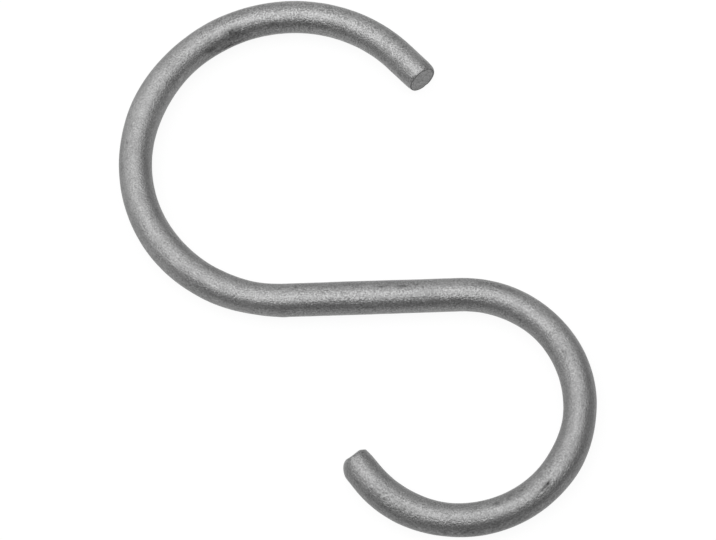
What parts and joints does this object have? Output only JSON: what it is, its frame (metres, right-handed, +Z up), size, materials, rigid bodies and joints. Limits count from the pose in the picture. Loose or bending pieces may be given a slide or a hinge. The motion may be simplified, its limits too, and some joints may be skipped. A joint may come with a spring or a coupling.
{
  "type": "s hook",
  "caption": "S-shaped hook of round galvanised steel wire, with a larger open hook for a rail, a straight shank and a smaller open hook for the load.",
  "frame": {"origin": "on the table under the line of pull, midway along the hook's overall length", "axes": "+Z up from the table, square to the flat of the hook; +Y along the line of pull from the smaller hook to the larger; +X to the side where the larger hook opens. Turned a quarter turn about X it hangs with the larger hook on top"},
  "size_m": [0.0525, 0.0946, 0.005],
  "materials": {
    "zinc_wire": "dull galvanised zinc with a fine grain, neutral grey"
  },
  "bodies": {
    "root": {"s_hook": "zinc_wire"}
  },
  "joints": []
}
